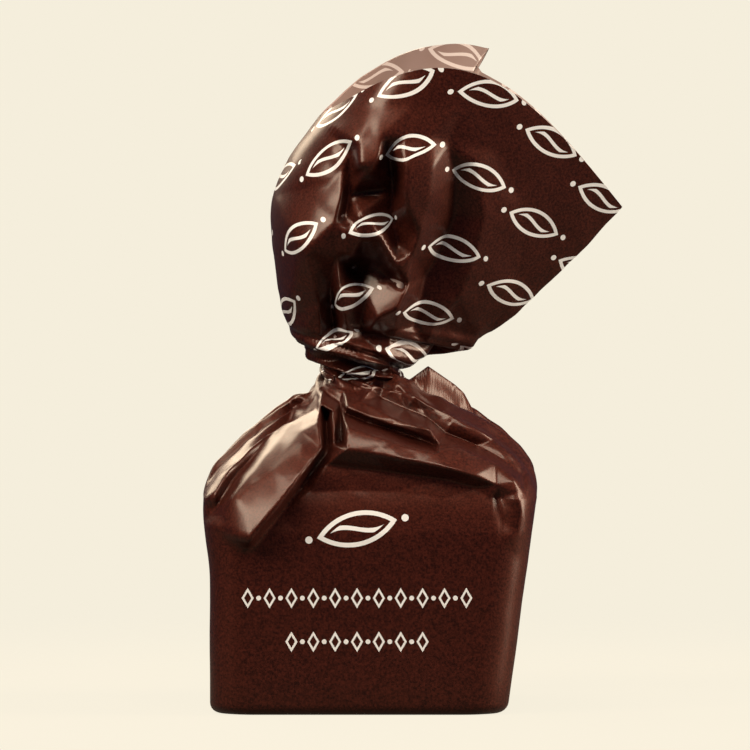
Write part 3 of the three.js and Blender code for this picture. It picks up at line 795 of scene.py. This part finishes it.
def add(tree, kind, links=(), sockets=(), **settings):
    """Adds a node: links join other nodes' outputs to its inputs, and sockets set its own values."""
    node = tree.nodes.new(kind)
    for name, value in settings.items():
        setattr(node, name, value)
    for key, value in dict(sockets).items():
        node.inputs[key].default_value = value
    for key, output in dict(links).items():
        tree.links.new(output, node.inputs[key])
    return node


def new_material(name):
    material = bpy.data.materials.new(name)
    material.use_nodes = True
    material.node_tree.nodes.clear()
    return material, material.node_tree


# %% The motif: a cocoa bean in outline, with its wavy slit
BEAN_HALF_LENGTH = 2.7
BEAN_HALF_WIDTH = 1.15
STROKE = 0.15  # half the width of the drawn line
BEAN_ARC = (BEAN_HALF_LENGTH**2 + BEAN_HALF_WIDTH**2) / (2 * BEAN_HALF_WIDTH)  # radius of its two sides
SLIT_WAVE = 1.25  # radians of the slit's wave in a millimetre
SLIT_SWING = 0.32
SLIT_END = 3.4 * STROKE  # how far inside the bean's edge the slit stops
DOT_PLACE = 3.25
DOT_RADIUS = 1.6 * STROKE


def bean_mask(tree, flat):
    """1 on the bean's lines and 0 elsewhere, from a vector in millimetres: two arcs, a wave and two dots."""
    middle = BEAN_ARC - BEAN_HALF_WIDTH
    above = add(tree, "ShaderNodeVectorMath", {0: flat}, {1: (0, middle, 0)}, operation="DISTANCE")
    below = add(tree, "ShaderNodeVectorMath", {0: flat}, {1: (0, -middle, 0)}, operation="DISTANCE")
    sides = {0: above.outputs["Value"], 1: below.outputs["Value"]}
    reach = add(tree, "ShaderNodeMath", sides, operation="MAXIMUM").outputs[0]
    edge = {1: BEAN_ARC - STROKE, 2: STROKE}
    outline = add(tree, "ShaderNodeMath", {0: reach}, edge, operation="COMPARE")
    parts = add(tree, "ShaderNodeSeparateXYZ", {0: flat})
    bend = add(tree, "ShaderNodeMath", {0: parts.outputs["X"]}, {1: SLIT_WAVE}, operation="MULTIPLY")
    wave = add(tree, "ShaderNodeMath", {0: bend.outputs[0]}, operation="SINE")
    swing = {0: wave.outputs[0], 2: parts.outputs["Y"]}
    slit_off = add(tree, "ShaderNodeMath", swing, {1: SLIT_SWING}, operation="MULTIPLY_ADD")
    slit = add(tree, "ShaderNodeMath", {0: slit_off.outputs[0]}, {1: 0.0, 2: STROKE}, operation="COMPARE")
    within = add(tree, "ShaderNodeMath", {0: reach}, {1: BEAN_ARC - SLIT_END}, operation="LESS_THAN")
    both = {0: slit.outputs[0], 1: within.outputs[0]}
    slit_part = add(tree, "ShaderNodeMath", both, operation="MULTIPLY")
    mirrored = add(tree, "ShaderNodeVectorMath", {0: flat}, operation="ABSOLUTE").outputs[0]
    from_dot = add(tree, "ShaderNodeVectorMath", {0: mirrored}, {1: (DOT_PLACE, 0, 0)}, operation="DISTANCE")
    dot = add(tree, "ShaderNodeMath", {0: from_dot.outputs["Value"]}, {1: DOT_RADIUS}, operation="LESS_THAN")
    body = add(tree, "ShaderNodeMath", {0: outline.outputs[0], 1: slit_part.outputs[0]}, operation="MAXIMUM")
    drawn = {0: body.outputs[0], 1: dot.outputs[0]}
    return add(tree, "ShaderNodeMath", drawn, operation="MAXIMUM").outputs[0]


# %% The front panel's print: one bean above two rows of lozenges and dots
PANEL_MIDDLE = -0.9
PANEL_BEAN_HEIGHT = 15.4
PANEL_BEAN_SCALE = 1.25
PANEL_BEAN_TILT = math.radians(13)
PANEL_ROWS = ((9.7, 9.5), (6.1, 5.9))  # height and half length of each row
ROW_PITCH = 1.8
LOZENGE_HALF_WIDTH = 0.5
LOZENGE_HALF_HEIGHT = 0.85
LOZENGE_LINE = {1: 0.8, 2: 0.2}  # middle and half width of its drawn line, as shares of its size
ROW_DOT_RADIUS = 0.2
PANEL_REACH = 1.8  # how far behind the front the panel's print may reach, before the sides begin


def row_mask(tree, parts, height, half_length):
    """1 on a row of lozenges with a dot between each two, and 0 elsewhere."""
    across = {0: parts.outputs["X"]}
    up = add(tree, "ShaderNodeMath", {0: parts.outputs["Z"]}, {1: height}, operation="SUBTRACT")
    swing = add(tree, "ShaderNodeMath", across, {1: ROW_PITCH / 2}, operation="PINGPONG")
    rise = {1: 1 / LOZENGE_HALF_HEIGHT}
    lozenge_up = add(tree, "ShaderNodeMath", {0: up.outputs[0]}, rise, operation="MULTIPLY")
    lozenge_size = add(tree, "ShaderNodeMath", {0: lozenge_up.outputs[0]}, operation="ABSOLUTE")
    sides = {0: swing.outputs[0], 2: lozenge_size.outputs[0]}
    run = {1: 1 / LOZENGE_HALF_WIDTH}
    lozenge_sum = add(tree, "ShaderNodeMath", sides, run, operation="MULTIPLY_ADD")
    lozenge = add(tree, "ShaderNodeMath", {0: lozenge_sum.outputs[0]}, LOZENGE_LINE, operation="COMPARE")
    from_dot = add(tree, "ShaderNodeMath", {0: swing.outputs[0]}, {1: ROW_PITCH / 2}, operation="SUBTRACT")
    dot_place = add(tree, "ShaderNodeCombineXYZ", {0: from_dot.outputs[0], 1: up.outputs[0]})
    dot_reach = add(tree, "ShaderNodeVectorMath", {0: dot_place.outputs[0]}, operation="LENGTH")
    near_dot = {0: dot_reach.outputs["Value"]}
    dot = add(tree, "ShaderNodeMath", near_dot, {1: ROW_DOT_RADIUS}, operation="LESS_THAN")
    drawn = add(tree, "ShaderNodeMath", {0: lozenge.outputs[0], 1: dot.outputs[0]}, operation="MAXIMUM")
    length = add(tree, "ShaderNodeMath", across, {1: 0.0, 2: half_length}, operation="COMPARE")
    shown = {0: drawn.outputs[0], 1: length.outputs[0]}
    return add(tree, "ShaderNodeMath", shown, operation="MULTIPLY").outputs[0]


def panel_mask(tree):
    """The front panel's print, from the object's own coordinates."""
    place = add(tree, "ShaderNodeTexCoord")
    millimetres = add(
        tree,
        "ShaderNodeVectorMath",
        {0: place.outputs["Object"]},
        {1: (1 / MM,) * 3, 2: (-PANEL_MIDDLE, 0, 0)},
        operation="MULTIPLY_ADD",
    )
    parts = add(tree, "ShaderNodeSeparateXYZ", {0: millimetres.outputs[0]})
    upright = add(tree, "ShaderNodeCombineXYZ", {0: parts.outputs["X"], 1: parts.outputs["Z"]})
    bean_place = add(
        tree,
        "ShaderNodeMapping",
        {0: upright.outputs[0]},
        {
            "Location": (0, PANEL_BEAN_HEIGHT, 0),
            "Rotation": (0, 0, PANEL_BEAN_TILT),
            "Scale": (PANEL_BEAN_SCALE, PANEL_BEAN_SCALE, 1),
        },
        vector_type="TEXTURE",
    )
    drawn = bean_mask(tree, bean_place.outputs[0])
    for height, half in PANEL_ROWS:
        row = row_mask(tree, parts, height, half)
        drawn = add(tree, "ShaderNodeMath", {0: drawn, 1: row}, operation="MAXIMUM").outputs[0]
    limit = {1: -DEPTH + PANEL_REACH}
    front = add(tree, "ShaderNodeMath", {0: parts.outputs["Y"]}, limit, operation="LESS_THAN")
    return add(tree, "ShaderNodeMath", {0: drawn, 1: front.outputs[0]}, operation="MULTIPLY").outputs[0]


# %% Printed polypropylene film, outside
GRAIN_SIZE = 0.2
GRAIN_HEIGHT = 0.03
CLOUD_SIZE = 9
INK_DARK = "#0F0405"
INK_LIGHT = "#3F1A14"
PRINT_WHITE = "#E8ECF2"


def printed_film():
    """Rotogravure print on clear film: the dots of ink give a fine grain, the film over it a satin gloss."""
    material, tree = new_material("printed_polypropylene_film")
    out = add(tree, "ShaderNodeOutputMaterial")
    place = add(tree, "ShaderNodeTexCoord")
    here = {"Vector": place.outputs["Object"]}
    fine = {"Scale": 1 / (GRAIN_SIZE * MM), "Detail": 3.0, "Roughness": 0.7}
    grain = add(tree, "ShaderNodeTexNoise", here, fine)
    cloud = add(tree, "ShaderNodeTexNoise", here, {"Scale": 1 / (CLOUD_SIZE * MM), "Detail": 2.0})
    shade = add(tree, "ShaderNodeMapRange", {0: grain.outputs["Fac"]}, {1: 0.34, 2: 0.66})
    inks = {"A": srgb(INK_DARK), "B": srgb(INK_LIGHT)}
    ink = add(tree, "ShaderNodeMix", {"Factor": shade.outputs[0]}, inks, data_type="RGBA")
    uv = add(tree, "ShaderNodeUVMap", uv_map="motif_mm")
    bean = bean_mask(tree, uv.outputs["UV"])
    panel = panel_mask(tree)
    mask = add(tree, "ShaderNodeMath", {0: bean, 1: panel}, operation="MAXIMUM")
    over_ink = {"Factor": mask.outputs[0], "A": ink.outputs["Result"]}
    colour = add(tree, "ShaderNodeMix", over_ink, {"B": srgb(PRINT_WHITE)}, data_type="RGBA")
    rough = add(tree, "ShaderNodeMapRange", {0: cloud.outputs["Fac"]}, {1: 0.3, 2: 0.7, 3: 0.46, 4: 0.54})
    relief = {"Strength": 0.8, "Distance": GRAIN_HEIGHT * MM}
    bump = add(tree, "ShaderNodeBump", {"Height": grain.outputs["Fac"]}, relief)
    shader = add(
        tree,
        "ShaderNodeBsdfPrincipled",
        {"Base Color": colour.outputs["Result"], "Roughness": rough.outputs[0], "Normal": bump.outputs[0]},
        {
            "IOR": 1.5,
            "Specular IOR Level": 0.34,
            "Specular Tint": (1.0, 0.20, 0.07, 1.0),
            "Coat Weight": 0.52,
            "Coat Roughness": 0.24,
            "Coat IOR": 1.5,
        },
    )
    tree.links.new(shader.outputs[0], out.inputs[0])
    return material


# %% Bare film, inside
BARE_DARK = "#84685F"
BARE_LIGHT = "#A08E8E"
PRINT_BEHIND = "#D8CBCB"
MILK_SIZE = 6


def film_reverse():
    """The unprinted side: milky film with the brown ink seen through it."""
    material, tree = new_material("film_reverse_side")
    out = add(tree, "ShaderNodeOutputMaterial")
    uv = add(tree, "ShaderNodeUVMap", uv_map="motif_mm")
    bean = bean_mask(tree, uv.outputs["UV"])
    place = add(tree, "ShaderNodeTexCoord")
    here = {"Vector": place.outputs["Object"]}
    cloud = add(tree, "ShaderNodeTexNoise", here, {"Scale": 1 / (MILK_SIZE * MM), "Detail": 2.0})
    films = {"A": srgb(BARE_DARK), "B": srgb(BARE_LIGHT)}
    bare = add(tree, "ShaderNodeMix", {"Factor": cloud.outputs["Fac"]}, films, data_type="RGBA")
    over_film = {"Factor": bean, "A": bare.outputs["Result"]}
    colour = add(tree, "ShaderNodeMix", over_film, {"B": srgb(PRINT_BEHIND)}, data_type="RGBA")
    shader = add(
        tree,
        "ShaderNodeBsdfPrincipled",
        {"Base Color": colour.outputs["Result"]},
        {"IOR": 1.5, "Roughness": 0.4},
    )
    tree.links.new(shader.outputs[0], out.inputs[0])
    return material


# %% Dress the wrapper
mesh.materials.append(printed_film())
mesh.materials.append(film_reverse())
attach(wrapper, "root")
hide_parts("wrapped_truffle")
print("materials:", [m.name for m in mesh.materials])

# %% [markdown]
# ## Table, light and background
#
# A plain cream table that fades into the background, and five softboxes. The film is glossy, so what it
# reflects matters more than how brightly it is lit. Panels at the sides and one above the front light the
# flat pieces between the folds. A small one behind is seen in the film at a glancing angle, so it draws
# pale lines along the shoulders. All else is dark, which keeps the hollows nearly black.

# %% The table
FLOOR_RADIUS = 0.3
FLOOR_SIDES = 64
FADE = {1: 0.04, 2: 0.12}  # metres from the middle at which the table begins to clear, and is clear
CREAM = "#F5EEDC"


def table_material():
    material, tree = new_material("cream_table")
    out = add(tree, "ShaderNodeOutputMaterial")
    place = add(tree, "ShaderNodeTexCoord")
    reach = add(tree, "ShaderNodeVectorMath", {0: place.outputs["Object"]}, operation="LENGTH")
    away = {0: reach.outputs["Value"]}
    fade = add(tree, "ShaderNodeMapRange", away, FADE, interpolation_type="SMOOTHSTEP")
    paint = add(tree, "ShaderNodeBsdfDiffuse", sockets={"Color": srgb("#33302C")})
    glow = add(tree, "ShaderNodeEmission", sockets={"Color": srgb(CREAM), "Strength": 0.97})
    # To the camera the table is an even cream glow. To every other ray it is dark paint with a faint warm
    # glow, which is painted bounce light that lifts the film's lower parts from below.
    ray = add(tree, "ShaderNodeLightPath")
    painted_bounce_light = add(tree, "ShaderNodeEmission", sockets={"Color": srgb("#F5E6CC"), "Strength": 0.12})
    views = {0: ray.outputs["Is Camera Ray"], 1: painted_bounce_light.outputs[0], 2: glow.outputs[0]}
    seen = add(tree, "ShaderNodeMixShader", views)
    lit = add(tree, "ShaderNodeAddShader", {0: paint.outputs[0], 1: seen.outputs[0]})
    clear = add(tree, "ShaderNodeBsdfTransparent")
    faded = add(tree, "ShaderNodeMixShader", {0: fade.outputs[0], 1: lit.outputs[0], 2: clear.outputs[0]})
    tree.links.new(faded.outputs[0], out.inputs[0])
    return material


table_mesh = bpy.data.meshes.new("table")
table_angles = np.linspace(0, TAU, FLOOR_SIDES, endpoint=False)
table_rim = [(FLOOR_RADIUS * math.cos(a), FLOOR_RADIUS * math.sin(a), 0) for a in table_angles]
table_mesh.from_pydata(table_rim, [], [range(FLOOR_SIDES)])
table_mesh.materials.append(table_material())
table = bpy.data.objects.new("table", table_mesh)
bpy.context.collection.objects.link(table)

# %% Softboxes
SOFTBOX_DISTANCE = 0.5


def softbox(name, azimuth, elevation, size, power, colour):
    """A rectangular panel light that faces the truffle's middle. Azimuth 0 stands at the camera's side."""
    light = bpy.data.lights.new(name, "AREA")
    light.shape = "RECTANGLE"
    light.size, light.size_y = size
    light.energy = power
    light.color = srgb(colour)[:3]
    lamp = bpy.data.objects.new(name, light)
    a, e = math.radians(azimuth), math.radians(elevation)
    lamp.location = (
        SOFTBOX_DISTANCE * math.sin(a) * math.cos(e),
        -SOFTBOX_DISTANCE * math.cos(a) * math.cos(e),
        AIM[2] + SOFTBOX_DISTANCE * math.sin(e),
    )
    lamp.rotation_euler = (math.pi / 2 - e, 0, a)
    bpy.context.collection.objects.link(lamp)


softbox("left_panel", -57, 30, (0.22, 0.18), 1.9, "#FFECD0")
softbox("right_panel", 84, 20, (0.20, 0.50), 4.8, "#FFECD0")
softbox("key_panel", -14, 56, (0.50, 0.14), 2.4, "#FFEED4")
softbox("left_top_panel", -112, 62, (0.26, 0.18), 0.6, "#FFE8C8")
softbox("back_panel", -158, 26, (0.36, 0.20), 1.4, "#FFE8C8")

# %% Background
# The Standard view keeps the film's browns as they are, where a filmic view would wash them out.
bpy.context.scene.view_settings.view_transform = "Standard"
world = bpy.data.worlds.new("studio")
world.use_nodes = True
bpy.context.scene.world = world
tree = world.node_tree
tree.nodes.clear()
seen = add(tree, "ShaderNodeBackground", sockets={"Color": srgb(CREAM), "Strength": 1.0})
dim = add(tree, "ShaderNodeBackground", sockets={"Color": srgb("#7C86AC"), "Strength": 0.12})
ray = add(tree, "ShaderNodeLightPath")
views = {0: ray.outputs["Is Camera Ray"], 1: dim.outputs[0], 2: seen.outputs[0]}
choice = add(tree, "ShaderNodeMixShader", views)
add(tree, "ShaderNodeOutputWorld", {0: choice.outputs[0]})
